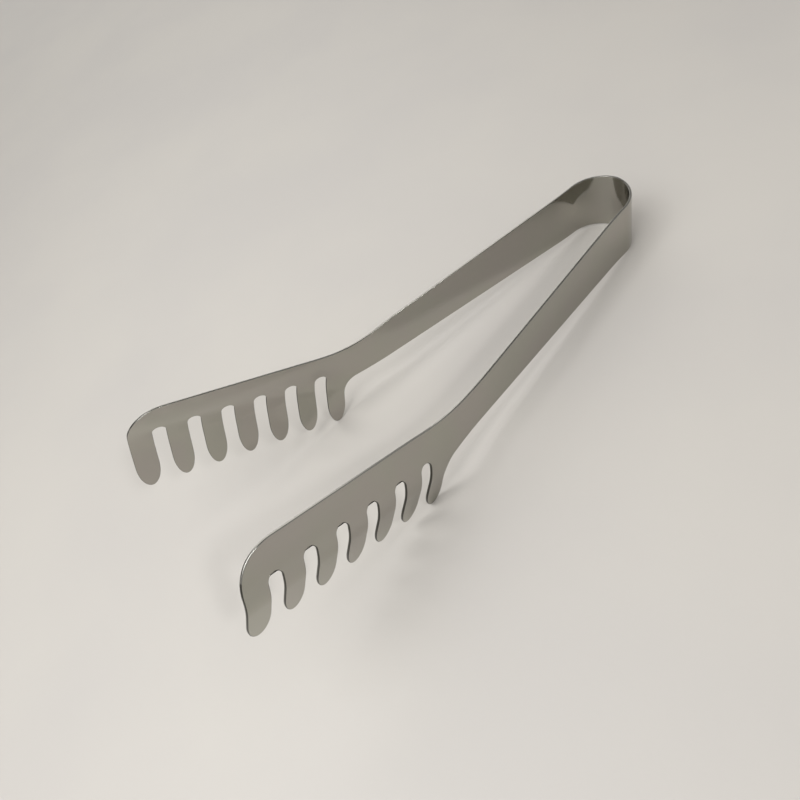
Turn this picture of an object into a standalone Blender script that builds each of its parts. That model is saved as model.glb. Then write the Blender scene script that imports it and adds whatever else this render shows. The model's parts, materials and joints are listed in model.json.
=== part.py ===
"""Spaghetti tongs: one strip of stainless sheet, bent into a sprung bow with two arms and two comb heads.

The strip is made as the real one is: flat blanks are cut, rolled or pressed to shape, then given their thickness.
Each region of the strip is an object of its own. The arms swing about upright axes where they leave the bow.
"""

import math

import bmesh
import bpy
from mathutils import Matrix, Vector

MM = 0.001

# Sheet
SHEET_THICKNESS = 1.0 * MM
SEAM_GAP = 0.3 * MM  # fine cut between two regions of the strip

# Strip: the bow and the two arms
BOW_RADIUS = 14.9 * MM  # to the middle of the sheet
ARM_SPREAD = math.radians(8.0)  # each arm, away from the middle plane
SHOULDER_TURN = math.radians(4.0)  # the bow is rolled this much too far, and the arm bends back
SHOULDER_LENGTH = 11.8 * MM  # start of the arm that bends back
ARM_LENGTH = 99.6 * MM  # with the shoulder
NECK_LENGTH = 25.2 * MM  # from the end of the arm to the bend line of the comb's back
BOW_STRIP_WIDTH = 26.8 * MM
NECK_STRIP_WIDTH = 17.5 * MM

# Comb head, in its own directions: along its back edge and down from it
HEAD_TILT = math.radians(21.2)  # the back edge rises from the arm
BACK_DEPTH = 12.7 * MM  # from the back edge to the top of the slots
TINE_COUNT = 7
TINE_PITCH = 14.2 * MM
TINE_WIDTH = 8.6 * MM
TINE_LENGTH = 27.1 * MM
TIP_ROUND = 9.6 * MM  # length of a tine's rounded end
FIRST_TINE = 7.0 * MM  # middle of the rear tine, past the neck
FRONT_TINE_EXTRA = 0.9 * MM  # the front tine is wider by this much
FRONT_CORNER_RADIUS = 15.1 * MM
NECK_BLEND_RADIUS = 61.0 * MM
HEEL_RADIUS = 9.9 * MM  # from the lower edge of the arm to the back of the rear tine

# Pressed hollow of the head: its back flares out, then the roots of the tines curl in, and their ends are straight
EDGE_LEAN = math.radians(7.7)  # outward lean at the back edge
FLARE_RADIUS = 51.3 * MM
CURL_START = 11.5 * MM  # depth where the flare ends and the curl begins
CURL_RADIUS = 21.5 * MM
CURL_LENGTH = 12.3 * MM
LEAN_AXIS_DEPTH = 9.1 * MM  # depth that stays in line with the arm
PRESS_FADE_LENGTH = 42.8 * MM  # the hollow grows to its full shape over this length of the neck

# Fineness of the bends
BOW_STEPS = 28
SHOULDER_STEPS = 4
PRESS_STEP = 3.2 * MM
FADE_STEPS = 12
TIP_STEPS = 12
SLOT_STEPS = 10
CORNER_STEPS = 10
FOLD_SNAP = 0.02 * MM  # a fold line goes through the corners that are closer than this
SHARP_ANGLE = math.radians(30)
STANCE_ROUNDS = 6  # of tipping until bow and tines both touch the table

STEEL_COLOUR = (0.56, 0.54, 0.50, 1.0)
STEEL_ROUGHNESS = 0.3

# Places worked out from the sizes
BOW_TURN = math.pi / 2 - ARM_SPREAD + SHOULDER_TURN  # each half of the bow
BOW_HALF_LENGTH = BOW_RADIUS * BOW_TURN
ARM_START = SEAM_GAP / 2  # from the hinge axis, which is in the middle of the cut
ARM_END = ARM_START + ARM_LENGTH
NECK_START = ARM_END + SEAM_GAP
HEAD_CORNER = NECK_START + NECK_LENGTH  # where the lines of the arm's top and the comb's back cross
STRIP_HALF_LENGTH = BOW_HALF_LENGTH + SEAM_GAP / 2 + HEAD_CORNER
PRESS_START = -NECK_LENGTH * math.cos(HEAD_TILT)  # along the comb's back edge
TIP_DEPTH = BACK_DEPTH + TINE_LENGTH
SLOT_WIDTH = TINE_PITCH - TINE_WIDTH


def clear_scene():
    for item in list(bpy.data.objects):
        bpy.data.objects.remove(item, do_unlink=True)


def make_steel():
    steel = bpy.data.materials.new("stainless_steel")
    steel.use_nodes = True
    shader = steel.node_tree.nodes["Principled BSDF"]
    shader.inputs["Base Color"].default_value = STEEL_COLOUR
    shader.inputs["Metallic"].default_value = 1.0
    shader.inputs["Roughness"].default_value = STEEL_ROUGHNESS
    return steel


def strip_width(distance):
    """Width of the tapered strip at a distance from the middle of the bow, measured along the strip."""
    taper = (BOW_STRIP_WIDTH - NECK_STRIP_WIDTH) / STRIP_HALF_LENGTH
    return BOW_STRIP_WIDTH - taper * abs(distance)


def rounded_corner(before, corner, after, radius, steps):
    """Points of an arc that rounds off a corner, within the shorter side beside it."""
    to_before = (before - corner).normalized()
    to_after = (after - corner).normalized()
    half_angle = to_before.angle(to_after) / 2
    reach = min(radius / math.tan(half_angle), (before - corner).length, (after - corner).length)
    radius = reach * math.tan(half_angle)
    centre = corner + (to_before + to_after).normalized() * (radius / math.sin(half_angle))
    start = corner + to_before * reach - centre
    end = corner + to_after * reach - centre
    turn = start.angle_signed(end)
    return [centre + Matrix.Rotation(-turn * step / steps, 2) @ start for step in range(steps + 1)]


def half_ellipse(middle, half_width, height, steps):
    """Points over half an ellipse, from its low side to its high side, bulging by the given height."""
    points = []
    for step in range(steps + 1):
        angle = math.pi * (1 - step / steps)
        points.append(middle + Vector((half_width * math.cos(angle), height * math.sin(angle))))
    return points


def comb_to_arm(point):
    """From the comb's directions to distance along the arm and height, both from the arm's lower edge."""
    forward = point.x * math.cos(HEAD_TILT) + point.y * math.sin(HEAD_TILT)
    up = point.x * math.sin(HEAD_TILT) - point.y * math.cos(HEAD_TILT)
    return Vector((HEAD_CORNER + forward, NECK_STRIP_WIDTH + up))


def arm_to_comb(point):
    forward = point.x - HEAD_CORNER
    up = point.y - NECK_STRIP_WIDTH
    along = forward * math.cos(HEAD_TILT) + up * math.sin(HEAD_TILT)
    depth = forward * math.sin(HEAD_TILT) - up * math.cos(HEAD_TILT)
    return Vector((along, depth))


def tine_edge():
    """Tips and slots from the rear tine to the front one, in the comb's directions."""
    points = []
    for index in range(TINE_COUNT):
        middle = FIRST_TINE + index * TINE_PITCH
        extra = FRONT_TINE_EXTRA if index == TINE_COUNT - 1 else 0.0
        tip = Vector((middle + extra / 2, TIP_DEPTH - TIP_ROUND))
        points += half_ellipse(tip, (TINE_WIDTH + extra) / 2, TIP_ROUND, TIP_STEPS)
        if index < TINE_COUNT - 1:
            slot = Vector((middle + TINE_PITCH / 2, BACK_DEPTH + SLOT_WIDTH / 2))
            points += half_ellipse(slot, SLOT_WIDTH / 2, -SLOT_WIDTH / 2, SLOT_STEPS)
    return points


def comb_outline():
    """Outline of the flat blank of neck and comb, as distance along the arm and height."""
    rear_side = FIRST_TINE - TINE_WIDTH / 2
    front_side = FIRST_TINE + (TINE_COUNT - 1) * TINE_PITCH + TINE_WIDTH / 2 + FRONT_TINE_EXTRA
    tines = [comb_to_arm(point) for point in tine_edge()]
    heel_depth = (NECK_STRIP_WIDTH + rear_side * math.sin(HEAD_TILT)) / math.cos(HEAD_TILT)
    heel = comb_to_arm(Vector((rear_side, heel_depth)))
    front = comb_to_arm(Vector((front_side, 0.0)))
    corner = comb_to_arm(Vector((0.0, 0.0)))
    low_start = Vector((NECK_START, 0.0))
    high_start = Vector((NECK_START, strip_width(STRIP_HALF_LENGTH - NECK_LENGTH)))
    points = [low_start]
    points += rounded_corner(low_start, heel, tines[0], HEEL_RADIUS, CORNER_STEPS)
    points += tines
    points += rounded_corner(tines[-1], front, corner, FRONT_CORNER_RADIUS, CORNER_STEPS)
    points += rounded_corner(points[-1], corner, high_start, NECK_BLEND_RADIUS, CORNER_STEPS)
    points.append(high_start)
    return points


def bent_line(distance, heading, bends):
    """Sideways and forward place on a line of arcs, each a length and a curvature, that goes on straight."""
    place = Vector((0.0, 0.0))
    for length, curvature in bends:
        walked = min(max(distance, 0.0), length)
        turned = heading + walked * curvature
        place.x += (math.cos(heading) - math.cos(turned)) / curvature
        place.y += (math.sin(turned) - math.sin(heading)) / curvature
        heading = turned
        distance -= walked
        if distance <= 0.0:
            break
    return place + distance * Vector((math.sin(heading), math.cos(heading)))


def head_section(depth):
    """Inward offset and lowered depth of the head's hollow section, from its back edge."""
    return bent_line(depth, -EDGE_LEAN, [(CURL_START, -1 / FLARE_RADIUS), (CURL_LENGTH, 1 / CURL_RADIUS)])


def press_head(point):
    """From a point of the flat blank to the inward offset, the distance along the arm and the height."""
    comb = arm_to_comb(point)
    fade = min(max((comb.x - PRESS_START) / PRESS_FADE_LENGTH, 0.0), 1.0)
    fade = fade * fade * (3 - 2 * fade)
    pressed = head_section(comb.y) - head_section(LEAN_AXIS_DEPTH) + Vector((0.0, LEAN_AXIS_DEPTH))
    place = comb_to_arm(Vector((comb.x, comb.y + (pressed.y - comb.y) * fade)))
    return Vector((pressed.x * fade, place.x, place.y))


def head_fold_lines():
    """Lines of the blank that the press bends, each as a point and a direction across the line."""
    across = Vector((math.sin(HEAD_TILT), -math.cos(HEAD_TILT)))
    lines = []
    press_steps = math.ceil((CURL_START + CURL_LENGTH) / PRESS_STEP)
    for step in range(1, press_steps + 1):
        depth = (CURL_START + CURL_LENGTH) * step / press_steps
        lines.append((comb_to_arm(Vector((0.0, depth))), across))
    forward = Vector((math.cos(HEAD_TILT), math.sin(HEAD_TILT)))
    for step in range(FADE_STEPS + 1):
        along = PRESS_START + PRESS_FADE_LENGTH * step / FADE_STEPS
        lines.append((comb_to_arm(Vector((along, 0.0))), forward))
    return lines


def cut_blank(outline, fold_lines):
    """Flat blank with the given outline, cut along its fold lines."""
    sheet = bmesh.new()
    corners = [sheet.verts.new((point.x, point.y, 0.0)) for point in outline]
    edges = [sheet.edges.new((corners[index - 1], corners[index])) for index in range(len(corners))]
    bmesh.ops.contextual_create(sheet, geom=edges)
    for place, across in fold_lines:
        everything = sheet.verts[:] + sheet.edges[:] + sheet.faces[:]
        bmesh.ops.bisect_plane(
            sheet,
            geom=everything,
            dist=FOLD_SNAP,
            plane_co=place.to_3d(),
            plane_no=across.to_3d(),
        )
    return sheet


def sheet_object(name, sheet, form, steel, collection):
    """Bend a blank with the form function, then thicken it to both sides."""
    for vert in sheet.verts:
        vert.co = form(vert.co.to_2d())
    mesh = bpy.data.meshes.new(name)
    sheet.to_mesh(mesh)
    sheet.free()
    mesh.materials.append(steel)
    mesh.shade_smooth()
    mesh.set_sharp_from_angle(angle=SHARP_ANGLE)
    piece = bpy.data.objects.new(name, mesh)
    collection.objects.link(piece)
    thicken = piece.modifiers.new("Sheet", "SOLIDIFY")
    thicken.thickness = SHEET_THICKNESS
    thicken.offset = 0.0
    thicken.use_even_offset = True
    return piece


def roll_bow(point):
    angle = point.x / BOW_RADIUS
    return Vector((BOW_RADIUS * math.sin(angle), BOW_RADIUS * (1 - math.cos(angle)), point.y))


def make_bow(steel, collection):
    """Half round spring, rolled from the widest part of the strip."""
    end = BOW_HALF_LENGTH
    outline = [
        Vector((-end, 0.0)),
        Vector((end, 0.0)),
        Vector((end, strip_width(end))),
        Vector((0.0, strip_width(0.0))),
        Vector((-end, strip_width(end))),
    ]
    across = Vector((1.0, 0.0))
    steps = range(1, BOW_STEPS)
    lines = [(Vector((end * (2 * step / BOW_STEPS - 1), 0.0)), across) for step in steps]
    return sheet_object("handle_bow", cut_blank(outline, lines), roll_bow, steel, collection)


def shoulder(distance):
    """Outward and forward place of the strip at a distance past the hinge, in the frame of the hinge."""
    return bent_line(distance, -SHOULDER_TURN, [(SHOULDER_LENGTH, SHOULDER_TURN / SHOULDER_LENGTH)])


def make_arm(name, side, steel, collection):
    """Tapered arm, flat past its bent shoulder, in the frame of its hinge."""
    axis_distance = BOW_HALF_LENGTH + SEAM_GAP / 2
    outline = [
        Vector((ARM_START, 0.0)),
        Vector((ARM_END, 0.0)),
        Vector((ARM_END, strip_width(axis_distance + ARM_END))),
        Vector((ARM_START, strip_width(axis_distance + ARM_START))),
    ]

    def stand_up(point):
        place = shoulder(point.x)
        return Vector((side * place.x, place.y, point.y))

    across = Vector((1.0, 0.0))
    steps = range(1, SHOULDER_STEPS + 1)
    lines = [(Vector((SHOULDER_LENGTH * step / SHOULDER_STEPS, 0.0)), across) for step in steps]
    return sheet_object(name, cut_blank(outline, lines), stand_up, steel, collection)


def make_comb(name, side, steel, collection):
    """Neck and comb head of one side, in the frame of the arm's hinge."""
    sheet = cut_blank(comb_outline(), head_fold_lines())
    bmesh.ops.triangulate(sheet, faces=sheet.faces[:])

    def press(point):
        formed = press_head(point)
        place = shoulder(formed.y)
        return Vector((side * (place.x - formed.x), place.y, formed.z))

    return sheet_object(name, sheet, press, steel, collection)


def make_empty(name, collection, parent=None):
    empty = bpy.data.objects.new(name, None)
    empty.empty_display_size = BOW_RADIUS
    empty.parent = parent
    collection.objects.link(empty)
    return empty


def make_hinge(name, side, stance, collection):
    """Empty on the upright axis where an arm leaves the bow, with its Y along the arm."""
    hinge = make_empty(name, collection, stance)
    direction = Vector((side * math.cos(BOW_TURN), math.sin(BOW_TURN), 0.0))
    bow_end = roll_bow(Vector((side * BOW_HALF_LENGTH, 0.0)))
    hinge.location = bow_end + direction * (SEAM_GAP / 2)
    hinge.rotation_euler = (0.0, 0.0, -side * ARM_SPREAD)
    return hinge


def solid_corners(pieces, frame):
    """Corners of the finished solids, in the frame of an empty."""
    depsgraph = bpy.context.evaluated_depsgraph_get()
    corners = []
    for piece in pieces:
        solid = piece.evaluated_get(depsgraph)
        to_frame = frame.matrix_world.inverted() @ solid.matrix_world
        corners += [to_frame @ vert.co for vert in solid.data.vertices]
    return corners


def stand_on_table(stance, bow, combs, arms):
    """Tip the tongs until bow and rear tines both touch the table, and centre them over the origin."""
    bpy.context.view_layer.update()
    bow_corners = solid_corners([bow], stance)
    comb_corners = solid_corners(combs, stance)
    tip = 0.0
    for _ in range(STANCE_ROUNDS):
        turn = Matrix.Rotation(tip, 3, "X")
        bow_low = min(bow_corners, key=lambda corner: (turn @ corner).z)
        comb_low = min(comb_corners, key=lambda corner: (turn @ corner).z)
        tip = math.atan2(bow_low.z - comb_low.z, comb_low.y - bow_low.y)
    turn = Matrix.Rotation(tip, 3, "X")
    placed = [turn @ corner for corner in bow_corners + comb_corners + solid_corners(arms, stance)]
    middle = (min(corner.y for corner in placed) + max(corner.y for corner in placed)) / 2
    stance.rotation_euler = (tip, 0.0, 0.0)
    stance.location = (0.0, -middle, -min(corner.z for corner in placed))
    bpy.context.view_layer.update()


def build_tongs():
    clear_scene()
    collection = bpy.data.collections.new("spaghetti_tongs")
    bpy.context.scene.collection.children.link(collection)
    steel = make_steel()
    stance = make_empty("stance", collection)
    bow = make_bow(steel, collection)
    bow.parent = stance
    arms = []
    combs = []
    for word, side in (("left", -1), ("right", 1)):
        hinge = make_hinge(word + "_hinge", side, stance, collection)
        arms.append(make_arm(word + "_arm", side, steel, collection))
        combs.append(make_comb(word + "_comb", side, steel, collection))
        arms[-1].parent = hinge
        combs[-1].parent = hinge
    stand_on_table(stance, bow, combs, arms)


build_tongs()
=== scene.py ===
"""Spaghetti tongs as they look: one bent strip of satin stainless steel with its cut edges, on a pale table.

The strip is cut, rounded and creased as a flat blank, then bent along the same lines as the fixed frame.
Each half, from the middle of the bow to the tip of its comb, is one skin.
"""

import json
import math

import bmesh
import bpy
from mathutils import Euler, Matrix, Vector


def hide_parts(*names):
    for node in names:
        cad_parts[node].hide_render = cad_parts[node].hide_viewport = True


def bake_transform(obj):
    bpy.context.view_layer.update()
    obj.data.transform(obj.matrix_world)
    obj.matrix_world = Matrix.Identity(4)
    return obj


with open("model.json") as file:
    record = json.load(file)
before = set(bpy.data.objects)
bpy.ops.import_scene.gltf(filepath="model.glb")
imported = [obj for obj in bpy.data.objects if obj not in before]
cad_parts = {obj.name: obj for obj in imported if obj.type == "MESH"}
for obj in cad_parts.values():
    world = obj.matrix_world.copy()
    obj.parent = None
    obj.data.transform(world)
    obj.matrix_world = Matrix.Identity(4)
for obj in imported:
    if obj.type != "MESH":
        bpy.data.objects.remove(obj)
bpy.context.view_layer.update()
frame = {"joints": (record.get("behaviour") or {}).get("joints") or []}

MM = 0.001

# Sheet and its cut edge
SHEET_THICKNESS = 1.0 * MM
SEAM_GAP = 0.3 * MM  # cut between two regions of the frame's strip, closed here
EDGE_ROLL = 0.36 * MM  # rounding that the shear leaves along the outer face
EDGE_ROUND = 0.14 * MM  # rounding along the inner face
EDGE_SEGMENTS = 4
EDGE_SUPPORT = 0.1 * MM  # narrow band that keeps the flat faces flat beside the rounding

# Strip: the bow and the two arms
BOW_RADIUS = 14.9 * MM  # to the middle of the sheet
ARM_SPREAD = math.radians(8.0)  # each arm, away from the middle plane
SHOULDER_TURN = math.radians(4.0)  # the bow is rolled this much too far, and the arm bends back
SHOULDER_LENGTH = 11.8 * MM
ARM_LENGTH = 99.6 * MM  # with the shoulder
NECK_LENGTH = 25.2 * MM  # from the end of the arm to the bend line of the comb's back
BOW_STRIP_WIDTH = 26.8 * MM
NECK_STRIP_WIDTH = 17.5 * MM

# Comb head, in its own directions: along its back edge and down from it
HEAD_TILT = math.radians(21.2)  # the back edge rises from the arm
BACK_DEPTH = 12.7 * MM  # from the back edge to the top of the slots
TINE_COUNT = 7
TINE_PITCH = 14.2 * MM
TINE_WIDTH = 8.6 * MM
TINE_LENGTH = 27.1 * MM
TIP_ROUND = 9.6 * MM  # length of a tine's rounded end
FIRST_TINE = 7.0 * MM  # middle of the rear tine, past the neck
FRONT_TINE_EXTRA = 0.9 * MM  # the front tine is wider by this much
FRONT_CORNER_RADIUS = 15.1 * MM
NECK_BLEND_RADIUS = 61.0 * MM
HEEL_RADIUS = 9.9 * MM  # from the lower edge of the arm to the back of the rear tine

# Pressed hollow of the head: its back flares out, the roots of the tines curl in, and their ends are straight
EDGE_LEAN = math.radians(7.7)  # outward lean at the back edge
FLARE_RADIUS = 51.3 * MM
CURL_START = 11.5 * MM  # depth where the flare ends and the curl begins
CURL_RADIUS = 21.5 * MM
CURL_LENGTH = 12.3 * MM
LEAN_AXIS_DEPTH = 9.1 * MM  # depth that stays in line with the arm
PRESS_FADE_LENGTH = 42.8 * MM  # the hollow grows to its full shape over this length of the neck

# Fineness of the skin
BOW_STEPS = 46  # facets in each half of the bow
SHOULDER_STEPS = 12
CREASE_STEP = 1.0 * MM  # between the press lines of the head
PRESS_MARGIN = 6.0 * MM  # the press lines reach back this far into the arm
TIP_STEPS = 20
SLOT_STEPS = 16
CORNER_STEPS = 18
SLOPE_STEP = 0.02 * MM  # for the slope of the bent surface
FOLD_SNAP = 0.002 * MM  # a fold line goes through the corners that are closer than this
ON_FACE = 0.02 * MM  # a corner this close to a face, or to the middle of the bow, lies on it
LEAST_RISE = 0.999  # of a flat face's normal along z

# Places worked out from the sizes
BOW_TURN = math.pi / 2 - ARM_SPREAD + SHOULDER_TURN  # each half of the bow
BOW_HALF_LENGTH = BOW_RADIUS * BOW_TURN
ARM_AXIS = BOW_HALF_LENGTH + SEAM_GAP / 2  # distance of the hinge line from the middle of the bow
ARM_START = SEAM_GAP / 2
NECK_START = ARM_START + ARM_LENGTH + SEAM_GAP
HEAD_CORNER = NECK_START + NECK_LENGTH
STRIP_HALF_LENGTH = ARM_AXIS + HEAD_CORNER
TIP_DEPTH = BACK_DEPTH + TINE_LENGTH
SLOT_WIDTH = TINE_PITCH - TINE_WIDTH
FADE_START = -NECK_LENGTH * math.cos(HEAD_TILT)
HINGE_X = BOW_RADIUS * math.sin(BOW_TURN) + math.cos(BOW_TURN) * SEAM_GAP / 2  # from the middle of the bow
HINGE_Y = BOW_RADIUS * (1 - math.cos(BOW_TURN)) + math.sin(BOW_TURN) * SEAM_GAP / 2


class Shade:
    """One output of a shader node. Python's operators on it add Math nodes beside it."""

    def __init__(self, tree, socket=None):
        self.tree = tree
        self.socket = socket

    def node(self, kind, sockets=None, output=0, **settings):
        """A new node: its settings first, then the values or links of its sockets."""
        made = self.tree.nodes.new(kind)
        for name, value in settings.items():
            setattr(made, name, value)
        for name, value in (sockets or {}).items():
            if isinstance(value, Shade):
                self.tree.links.new(value.socket, made.inputs[name])
            else:
                made.inputs[name].default_value = value
        return Shade(self.tree, made.outputs[output] if made.outputs else None)

    def math(self, operation, other):
        return self.node("ShaderNodeMath", {0: self, 1: other}, operation=operation)

    def __add__(self, other):
        return self.math("ADD", other)

    __radd__ = __add__

    def __mul__(self, other):
        return self.math("MULTIPLY", other)

    __rmul__ = __mul__

    def step(self, low, high):
        """0 below low, 1 above high, smooth between them."""
        sockets = {"Value": self, "From Min": low, "From Max": high}
        return self.node("ShaderNodeMapRange", sockets, interpolation_type="SMOOTHSTEP")

    def stretched(self, factors):
        return self.node("ShaderNodeVectorMath", {0: self, 1: factors}, operation="MULTIPLY")

    def noise(self, scale, detail=2.0, roughness=0.5, dimensions="3D"):
        sockets = {"Vector": self, "Scale": scale, "Detail": detail, "Roughness": roughness}
        return self.node("ShaderNodeTexNoise", sockets, noise_dimensions=dimensions)

    def mixed(self, first, second):
        """Two colours mixed by self. The Mix node's colour sockets are known by their number."""
        return self.node("ShaderNodeMix", {0: self, 6: first, 7: second}, output=2, data_type="RGBA")


def new_material(name):
    """An empty node material and the shade that starts its nodes."""
    material = bpy.data.materials.new(name)
    material.use_nodes = True
    material.node_tree.nodes.clear()
    return material, Shade(material.node_tree)


# Flat blank of one half, as distance from the middle of the bow and height over the lower edge


def strip_width(distance):
    """Width at a distance from the middle of the bow."""
    taper = (BOW_STRIP_WIDTH - NECK_STRIP_WIDTH) / STRIP_HALF_LENGTH
    return BOW_STRIP_WIDTH - taper * distance


def rounded_corner(before, corner, after, radius, steps):
    """Points of an arc that rounds off a corner, no longer than the shorter side beside it."""
    to_before = (before - corner).normalized()
    to_after = (after - corner).normalized()
    half_angle = to_before.angle(to_after) / 2
    reach = min(radius / math.tan(half_angle), (before - corner).length, (after - corner).length)
    radius = reach * math.tan(half_angle)
    centre = corner + (to_before + to_after).normalized() * (radius / math.sin(half_angle))
    start = corner + to_before * reach - centre
    turn = start.angle_signed(corner + to_after * reach - centre)
    return [centre + Matrix.Rotation(-turn * step / steps, 2) @ start for step in range(steps + 1)]


def half_ellipse(middle, half_width, depth, steps):
    """Points of a half ellipse below its middle, in the comb's directions, or above it if depth is negative."""
    points = []
    for step in range(steps + 1):
        angle = math.pi * (1 - step / steps)
        points.append(middle + Vector((half_width * math.cos(angle), depth * math.sin(angle))))
    return points


def comb_to_arm(point):
    """From the comb's directions to distance from the hinge line and height."""
    forward = point.x * math.cos(HEAD_TILT) + point.y * math.sin(HEAD_TILT)
    up = point.x * math.sin(HEAD_TILT) - point.y * math.cos(HEAD_TILT)
    return Vector((HEAD_CORNER + forward, NECK_STRIP_WIDTH + up))


def arm_to_comb(point):
    """The reverse of comb_to_arm."""
    forward = point.x - HEAD_CORNER
    up = point.y - NECK_STRIP_WIDTH
    along = forward * math.cos(HEAD_TILT) + up * math.sin(HEAD_TILT)
    depth = forward * math.sin(HEAD_TILT) - up * math.cos(HEAD_TILT)
    return Vector((along, depth))


def comb_to_blank(point):
    """From the comb's directions to distance from the middle of the bow and height."""
    return comb_to_arm(point) + Vector((ARM_AXIS, 0.0))


def tine_edge():
    """Tips and slots from the rear tine to the front one, in the comb's directions."""
    points = []
    for index in range(TINE_COUNT):
        middle = FIRST_TINE + index * TINE_PITCH
        extra = FRONT_TINE_EXTRA if index == TINE_COUNT - 1 else 0.0
        tip = Vector((middle + extra / 2, TIP_DEPTH - TIP_ROUND))
        points += half_ellipse(tip, (TINE_WIDTH + extra) / 2, TIP_ROUND, TIP_STEPS)
        if index < TINE_COUNT - 1:
            slot = Vector((middle + TINE_PITCH / 2, BACK_DEPTH + SLOT_WIDTH / 2))
            points += half_ellipse(slot, SLOT_WIDTH / 2, -SLOT_WIDTH / 2, SLOT_STEPS)
    return points


def half_outline():
    """Outline of the flat blank, from the lower corner at the bow's middle round the comb and back."""
    rear_side = FIRST_TINE - TINE_WIDTH / 2
    front_side = FIRST_TINE + (TINE_COUNT - 1) * TINE_PITCH + TINE_WIDTH / 2 + FRONT_TINE_EXTRA
    tines = [comb_to_blank(point) for point in tine_edge()]
    heel_depth = (NECK_STRIP_WIDTH + rear_side * math.sin(HEAD_TILT)) / math.cos(HEAD_TILT)
    heel = comb_to_blank(Vector((rear_side, heel_depth)))
    front = comb_to_blank(Vector((front_side, 0.0)))
    corner = comb_to_blank(Vector((0.0, 0.0)))
    low_start = Vector((ARM_AXIS + NECK_START, 0.0))
    high_start = Vector((ARM_AXIS + NECK_START, strip_width(STRIP_HALF_LENGTH - NECK_LENGTH)))
    points = [Vector((0.0, 0.0))]
    points += rounded_corner(low_start, heel, tines[0], HEEL_RADIUS, CORNER_STEPS)
    points += tines
    points += rounded_corner(tines[-1], front, corner, FRONT_CORNER_RADIUS, CORNER_STEPS)
    points += rounded_corner(points[-1], corner, high_start, NECK_BLEND_RADIUS, CORNER_STEPS)
    points.append(Vector((0.0, strip_width(0.0))))
    return points


def fold_lines():
    """Lines where the bow and the shoulder bend, each as a point and a direction across the line."""
    across = Vector((1.0, 0.0))
    lines = []
    # The middle facet of the bow lies half in the one skin and half in the other
    for step in range(BOW_STEPS):
        lines.append((Vector(((step + 0.5) * BOW_HALF_LENGTH / (BOW_STEPS - 0.5), 0.0)), across))
    for step in range(SHOULDER_STEPS + 1):
        lines.append((Vector((ARM_AXIS + SHOULDER_LENGTH * step / SHOULDER_STEPS, 0.0)), across))
    return lines


def press_lines():
    """Lines of the head that the press bends: down its depth, and along the neck where the hollow grows."""
    across = Vector((math.sin(HEAD_TILT), -math.cos(HEAD_TILT)))
    forward = Vector((math.cos(HEAD_TILT), math.sin(HEAD_TILT)))
    lines = []
    pressed_depth = CURL_START + CURL_LENGTH
    depth_steps = math.ceil(pressed_depth / CREASE_STEP)
    for step in range(depth_steps + 1):
        lines.append((comb_to_blank(Vector((0.0, pressed_depth * step / depth_steps))), across))
    fade_steps = math.ceil(PRESS_FADE_LENGTH / CREASE_STEP)
    for step in range(fade_steps + 1):
        along = FADE_START + PRESS_FADE_LENGTH * step / fade_steps
        lines.append((comb_to_blank(Vector((along, 0.0))), forward))
    return lines


# The bent form


def bent_line(distance, heading, bends):
    """Sideways and forward place on a line of arcs, each a length and a curvature, that goes on straight."""
    place = Vector((0.0, 0.0))
    for length, curvature in bends:
        walked = min(max(distance, 0.0), length)
        turned = heading + walked * curvature
        place.x += (math.cos(heading) - math.cos(turned)) / curvature
        place.y += (math.sin(turned) - math.sin(heading)) / curvature
        heading = turned
        distance -= walked
        if distance <= 0.0:
            break
    return place + distance * Vector((math.sin(heading), math.cos(heading)))


def head_section(depth):
    """Inward offset and lowered depth of the head's hollow section, from its back edge."""
    return bent_line(depth, -EDGE_LEAN, [(CURL_START, -1 / FLARE_RADIUS), (CURL_LENGTH, 1 / CURL_RADIUS)])


def press_head(point):
    """From a blank's point past the hinge line to its inward offset, distance along the arm and height."""
    comb = arm_to_comb(point)
    fade = min(max((comb.x - FADE_START) / PRESS_FADE_LENGTH, 0.0), 1.0)
    fade = fade * fade * (3 - 2 * fade)
    pressed = head_section(comb.y) - head_section(LEAN_AXIS_DEPTH) + Vector((0.0, LEAN_AXIS_DEPTH))
    place = comb_to_arm(Vector((comb.x, comb.y + (pressed.y - comb.y) * fade)))
    return Vector((pressed.x * fade, place.x, place.y))


def shoulder(distance):
    """Outward and forward place of the strip at a distance past the hinge line."""
    return bent_line(distance, -SHOULDER_TURN, [(SHOULDER_LENGTH, SHOULDER_TURN / SHOULDER_LENGTH)])


def bent_sheet(distance, height):
    """Middle of the sheet for the right half, in the frame of the bow: x to the right, y along the tongs."""
    if distance <= BOW_HALF_LENGTH:
        angle = distance / BOW_RADIUS
        return Vector((BOW_RADIUS * math.sin(angle), BOW_RADIUS * (1 - math.cos(angle)), height))
    inward, along, up = press_head(Vector((distance - ARM_AXIS, height)))
    place = shoulder(along)
    forward = Vector((math.sin(ARM_SPREAD), math.cos(ARM_SPREAD), 0.0))
    outward = Vector((math.cos(ARM_SPREAD), -math.sin(ARM_SPREAD), 0.0))
    return Vector((HINGE_X, HINGE_Y, up)) + forward * place.y + outward * (place.x - inward)


def sheet_normal(distance, height):
    """Direction to the inside of the tongs, square to the bent sheet."""
    back = max(distance - SLOPE_STEP, 0.0)
    along = bent_sheet(distance + SLOPE_STEP, height) - bent_sheet(back, height)
    upward = bent_sheet(distance, height + SLOPE_STEP) - bent_sheet(distance, height - SLOPE_STEP)
    return upward.cross(along).normalized()


def stance_matrix():
    """How the tongs stand, read from the frame's hinges."""
    hinges = {joint["name"]: joint for joint in frame["joints"]}
    left = Vector(hinges["left_arm_flex"]["pos_m"])
    right = Vector(hinges["right_arm_flex"]["pos_m"])
    up = Vector(hinges["right_arm_flex"]["axis"])
    turn = Matrix.Rotation(math.atan2(-up.y, up.z), 4, "X")
    middle = (left + right) / 2
    return Matrix.Translation(middle) @ turn @ Matrix.Translation((0.0, -HINGE_Y, 0.0))


# Making a half

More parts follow.
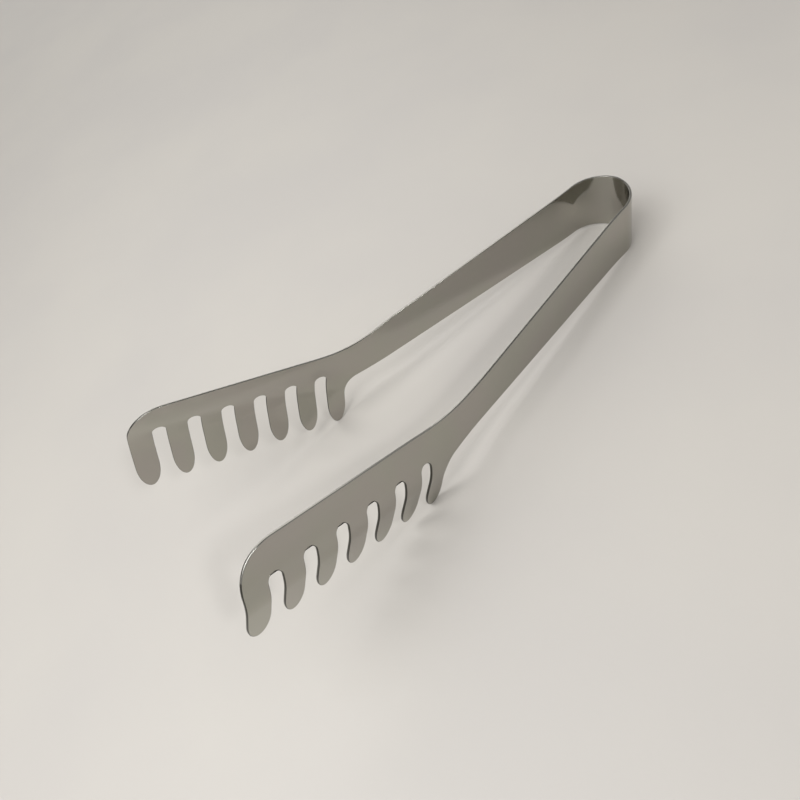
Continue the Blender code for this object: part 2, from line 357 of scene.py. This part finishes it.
SHEARED_RIM = 0.5  # value of the rim attribute on the edges along the strip, 0 on the two faces
PUNCHED_RIM = 1.0  # on the edges of the tines and slots
RIM_MARGIN = 0.001 * MM  # the rim's corners lie more than this inside the two faces
MAP_SHIFT = 0.1  # between the outer and the inner face in the flat map


def everything(sheet):
    return sheet.verts[:] + sheet.edges[:] + sheet.faces[:]


def cut_blank():
    """Flat blank of one half: cut edge rounded, more so on the outer face, and sharp where the halves meet."""
    blank = bmesh.new()
    corners = [blank.verts.new((point.x, point.y, -SHEET_THICKNESS / 2)) for point in half_outline()]
    edges = [blank.edges.new((corners[index - 1], corners[index])) for index in range(len(corners))]
    bmesh.ops.contextual_create(blank, geom=edges)
    lifted = bmesh.ops.extrude_face_region(blank, geom=blank.faces[:])["geom"]
    lifted = [item for item in lifted if isinstance(item, bmesh.types.BMVert)]
    bmesh.ops.translate(blank, verts=lifted, vec=(0.0, 0.0, SHEET_THICKNESS))
    bmesh.ops.recalc_face_normals(blank, faces=blank.faces[:])
    for side, offset in ((-1, EDGE_ROLL), (1, EDGE_ROUND)):
        rim = []
        for edge in blank.edges:
            low, high = sorted(edge.verts, key=lambda vert: vert.co.z)
            on_side = min(side * low.co.z, side * high.co.z) > SHEET_THICKNESS / 2 - ON_FACE
            seam = max(low.co.x, high.co.x) < ON_FACE
            if on_side and not seam:
                rim.append(edge)
        bmesh.ops.bevel(
            blank,
            geom=rim,
            offset=offset,
            offset_type="OFFSET",
            segments=EDGE_SEGMENTS,
            profile=0.5,
            affect="EDGES",
            material=-1,
            clamp_overlap=False,
        )
    flats = [face for face in blank.faces if abs(face.normal.z) > LEAST_RISE]
    bmesh.ops.inset_region(blank, faces=flats, thickness=EDGE_SUPPORT, use_even_offset=True)
    for edge in blank.edges:
        if max(vert.co.x for vert in edge.verts) < ON_FACE:
            edge.smooth = False
    return blank


def crease(blank, geom, place, across):
    """Cut some of the blank along a line through a place."""
    bmesh.ops.bisect_plane(blank, geom=geom, dist=FOLD_SNAP, plane_co=place.to_3d(), plane_no=across.to_3d())


def crease_blank(blank):
    """Cut the blank along its fold lines, and its head along the press lines too."""
    head_start = Vector((ARM_AXIS + NECK_START - PRESS_MARGIN, 0.0))
    for place, across in fold_lines() + [(head_start, Vector((1.0, 0.0)))]:
        crease(blank, everything(blank), place, across)
    for place, across in press_lines():
        head = set()
        for face in blank.faces:
            if face.calc_center_median().x > head_start.x:
                head.update([face, *face.verts, *face.edges])
        crease(blank, list(head), place, across)


def make_half(name, side, steel):
    """One half of the strip: side is -1 for the left and 1 for the right."""
    blank = cut_blank()
    crease_blank(blank)
    flat_map = blank.loops.layers.uv.new("blank")
    rim = blank.verts.layers.float.new("rim")
    for face in blank.faces:
        for loop in face.loops:
            place = loop.vert.co
            loop[flat_map].uv = (place.x, place.y + (MAP_SHIFT if face.normal.z > 0 else 0.0))
    for vert in blank.verts:
        comb = arm_to_comb(Vector((vert.co.x - ARM_AXIS, vert.co.y)))
        punched = comb.x > 0.0 and comb.y > BACK_DEPTH - SLOT_WIDTH / 2
        on_rim = abs(vert.co.z) < SHEET_THICKNESS / 2 - RIM_MARGIN
        vert[rim] = (PUNCHED_RIM if punched else SHEARED_RIM) if on_rim else 0.0
    stance = stance_matrix()
    for vert in blank.verts:
        distance, height, offset = vert.co
        placed = bent_sheet(distance, height) + sheet_normal(distance, height) * offset
        placed.x *= side
        vert.co = stance @ placed
    # Bending turns a blank inside out, and the mirroring of the left half turns it back
    if side > 0:
        bmesh.ops.reverse_faces(blank, faces=blank.faces[:])
    bmesh.ops.triangulate(blank, faces=[face for face in blank.faces if len(face.verts) > 4])
    mesh = bpy.data.meshes.new(name)
    blank.to_mesh(mesh)
    blank.free()
    mesh.materials.append(steel)
    mesh.shade_smooth()
    piece = bpy.data.objects.new(name, mesh)
    bpy.context.scene.collection.objects.link(piece)
    return piece


def hang_on_hinge(piece):
    """Bake the half's placement into its mesh."""
    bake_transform(piece)


# Finishes

STEEL_COLOUR = (0.394, 0.388, 0.343, 1.0)
STEEL_WARM = (0.4, 0.38, 0.349, 1.0)
EDGE_COLOUR = (0.36, 0.355, 0.33, 1.0)
# Painted shade: the cut edges of the tines and slots are painted near black, standing in for the shade they
# mirror
PUNCHED_EDGE_PAINTED_SHADE = (0.08, 0.078, 0.068, 1.0)
TABLE_COLOUR = (0.627, 0.601, 0.56, 1.0)
TABLE_SHADE = (0.597, 0.573, 0.543, 1.0)
LINE_SCALE = (60.0, 4200.0, 1.0)  # polishing lines: long along the strip and fine across it
FINE_LINE_SCALE = (220.0, 14000.0, 1.0)


def satin_steel():
    """Satin stainless: polishing lines, faint waviness and smudges, dull sheared edges, and punched edges
    darkened with painted shade.
    """
    material, start = new_material("satin_stainless")
    flat_map = start.node("ShaderNodeUVMap", uv_map="blank")
    rim = start.node("ShaderNodeAttribute", output=2, attribute_name="rim")
    lines = flat_map.stretched(LINE_SCALE).noise(1.0, detail=3.0, roughness=0.6, dimensions="2D")
    fine_lines = flat_map.stretched(FINE_LINE_SCALE).noise(1.0, detail=2.0, dimensions="2D")
    waves = flat_map.noise(90.0, detail=1.5, dimensions="2D")
    smudges = flat_map.noise(55.0, detail=4.0, roughness=0.62, dimensions="2D").step(0.5, 0.72)
    tint = flat_map.noise(38.0, detail=3.0, dimensions="2D").step(0.3, 0.7)
    colour = tint.mixed(STEEL_COLOUR, STEEL_WARM)
    colour = rim.step(0.0, SHEARED_RIM).mixed(colour, EDGE_COLOUR)
    # Painted shade on the punched edges of the tines and slots
    colour = rim.step(SHEARED_RIM, PUNCHED_RIM).mixed(colour, PUNCHED_EDGE_PAINTED_SHADE)
    roughness = 0.08 + 0.03 * lines + 0.05 * smudges + 0.2 * rim
    height = 0.35 * lines + 0.15 * fine_lines
    bump = start.node("ShaderNodeBump", {"Strength": 0.2, "Distance": 0.004 * MM, "Height": height})
    wavy = {"Strength": 0.35, "Distance": 0.05 * MM, "Height": waves, "Normal": bump}
    bump = start.node("ShaderNodeBump", wavy)
    sockets = {"Base Color": colour, "Metallic": 1.0, "Roughness": roughness, "Normal": bump}
    shader = start.node("ShaderNodeBsdfPrincipled", sockets)
    start.node("ShaderNodeOutputMaterial", {"Surface": shader})
    return material


def table_top():
    """Pale matt table with a slight mottle."""
    material, start = new_material("table_top")
    place = start.node("ShaderNodeTexCoord", output=3)
    mottle = place.noise(7.0, detail=4.0).step(0.3, 0.7)
    colour = mottle.mixed(TABLE_COLOUR, TABLE_SHADE)
    bump = start.node("ShaderNodeBump", {"Strength": 0.1, "Distance": 0.2 * MM, "Height": place.noise(900.0)})
    sockets = {"Base Color": colour, "Roughness": 0.5, "Normal": bump}
    shader = start.node("ShaderNodeBsdfPrincipled", sockets)
    start.node("ShaderNodeOutputMaterial", {"Surface": shader})
    return material


# Table, lamps and camera

TABLE_RADIUS = 4.0
TABLE_SIDES = 96
# Name, direction from the tongs, distance, size and power
LAMPS = (
    ("lamp_top", (0.0, 0.5, 1.0), 0.6, 0.45, 1.75),
    ("lamp_front", (-1.0, -0.2, 1.0), 1.3, 0.1, 2.7),
    ("lamp_right", (0.2, 0.65, 1.0), 1.3, 0.16, 0.8),
)
HORIZON_COLOUR = (0.56, 0.55, 0.53, 1.0)
SKY_COLOUR = (0.42, 0.412, 0.4, 1.0)
OVERHEAD_COLOUR = (1.8, 1.78, 1.75, 1.0)
SKY_HEIGHTS = (0.08, 0.3)  # the horizon's colour turns into the sky's between these
OVERHEAD_HEIGHTS = (0.75, 1.0)
DIM_COLOUR = (0.055, 0.047, 0.041, 1.0)
BRIGHT_COLOUR = (1.6, 1.57, 1.5, 1.0)
# Round places of the sky: direction, cosines from it where the place begins and where it is full, and colour
SKY_PLACES = (
    ((-0.5, -0.2, 0.8), 0.86, 0.95, DIM_COLOUR),
    ((0.76, 0.6, 0.28), 0.965, 0.985, DIM_COLOUR),
    ((0.35, -0.3, 0.88), 0.9, 0.94, DIM_COLOUR),
    ((0.82, -0.25, 0.48), 0.912, 0.935, BRIGHT_COLOUR),
)
CAMERA_PLACE = (-0.17208, 0.07056, 0.2384)
CAMERA_TURN = (34.932, 19.572, -131.485)
CAMERA_LENS = 30.187
SENSOR_WIDTH = 36.0
CAMERA_NEAR = 0.01


def make_table():
    """Round table top, wide enough to reach the horizon."""
    disc = bmesh.new()
    bmesh.ops.create_circle(disc, cap_ends=True, segments=TABLE_SIDES, radius=TABLE_RADIUS)
    mesh = bpy.data.meshes.new("table")
    disc.to_mesh(mesh)
    disc.free()
    mesh.materials.append(table_top())
    table = bpy.data.objects.new("table", mesh)
    bpy.context.scene.collection.objects.link(table)


def make_lamp(name, toward, distance, size, power):
    """Square soft lamp in a direction from the tongs, turned to them."""
    direction = Vector(toward).normalized()
    light = bpy.data.lights.new(name, "AREA")
    light.size = size
    light.energy = power
    lamp = bpy.data.objects.new(name, light)
    lamp.location = direction * distance
    lamp.rotation_euler = direction.to_track_quat("Z", "Y").to_euler()
    bpy.context.scene.collection.objects.link(lamp)


def make_world():
    """Pale surroundings, brighter overhead, with dim and bright places that the steel mirrors."""
    world = bpy.data.worlds.new("surroundings")
    bpy.context.scene.world = world
    world.use_nodes = True
    world.node_tree.nodes.clear()
    start = Shade(world.node_tree)
    direction = start.node("ShaderNodeTexCoord", output=0)
    height = start.node("ShaderNodeSeparateXYZ", {0: direction}, output=2)
    colour = height.step(*SKY_HEIGHTS).mixed(HORIZON_COLOUR, SKY_COLOUR)
    colour = height.step(*OVERHEAD_HEIGHTS).mixed(colour, OVERHEAD_COLOUR)
    for toward, outer, inner, shade in SKY_PLACES:
        sockets = {0: direction, 1: Vector(toward).normalized()}
        cosine = start.node("ShaderNodeVectorMath", sockets, operation="DOT_PRODUCT", output=1)
        colour = cosine.step(outer, inner).mixed(colour, shade)
    sky = start.node("ShaderNodeBackground", {"Color": colour, "Strength": 1.0})
    start.node("ShaderNodeOutputWorld", {"Surface": sky})


def make_camera():
    """Camera with the photograph's view of the tongs."""
    data = bpy.data.cameras.new("camera")
    data.lens = CAMERA_LENS
    data.sensor_width = SENSOR_WIDTH
    data.clip_start = CAMERA_NEAR
    camera = bpy.data.objects.new("camera", data)
    camera.location = CAMERA_PLACE
    camera.rotation_euler = Euler([math.radians(angle) for angle in CAMERA_TURN])
    bpy.context.scene.collection.objects.link(camera)
    bpy.context.scene.camera = camera


def build_scene():
    steel = satin_steel()
    for word, side in (("left", -1), ("right", 1)):
        half = make_half(word + "_strip", side, steel)
        hang_on_hinge(half)
        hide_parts("handle_bow", word + "_arm", word + "_comb")
    make_table()
    for lamp in LAMPS:
        make_lamp(*lamp)
    make_world()
    make_camera()
    bpy.context.scene.view_settings.view_transform = "Standard"


build_scene()
